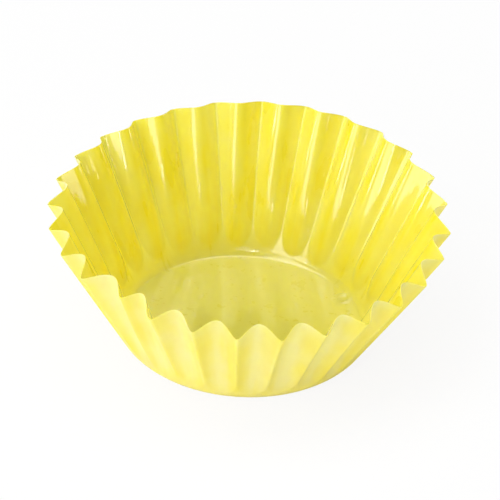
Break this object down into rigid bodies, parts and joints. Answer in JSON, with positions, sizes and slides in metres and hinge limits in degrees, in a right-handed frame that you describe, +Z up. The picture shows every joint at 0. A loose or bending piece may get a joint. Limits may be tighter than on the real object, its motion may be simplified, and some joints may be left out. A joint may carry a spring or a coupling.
{
  "type": "bento food cup",
  "caption": "Round pleated food cup with a flat base and a flared wall, pressed in one piece from glossy yellow plastic film.",
  "frame": {"origin": "centre of the flat base's underside, where the cup stands", "axes": "+Z up through the cup's mouth, +Y along the rim's longer width, +X along its narrower width"},
  "size_m": [0.0818, 0.0848, 0.0295],
  "materials": {
    "yellow_film": "pressed plastic film, glossy inside and satin outside"
  },
  "bodies": {
    "root": {"cup": "yellow_film"}
  },
  "joints": []
}
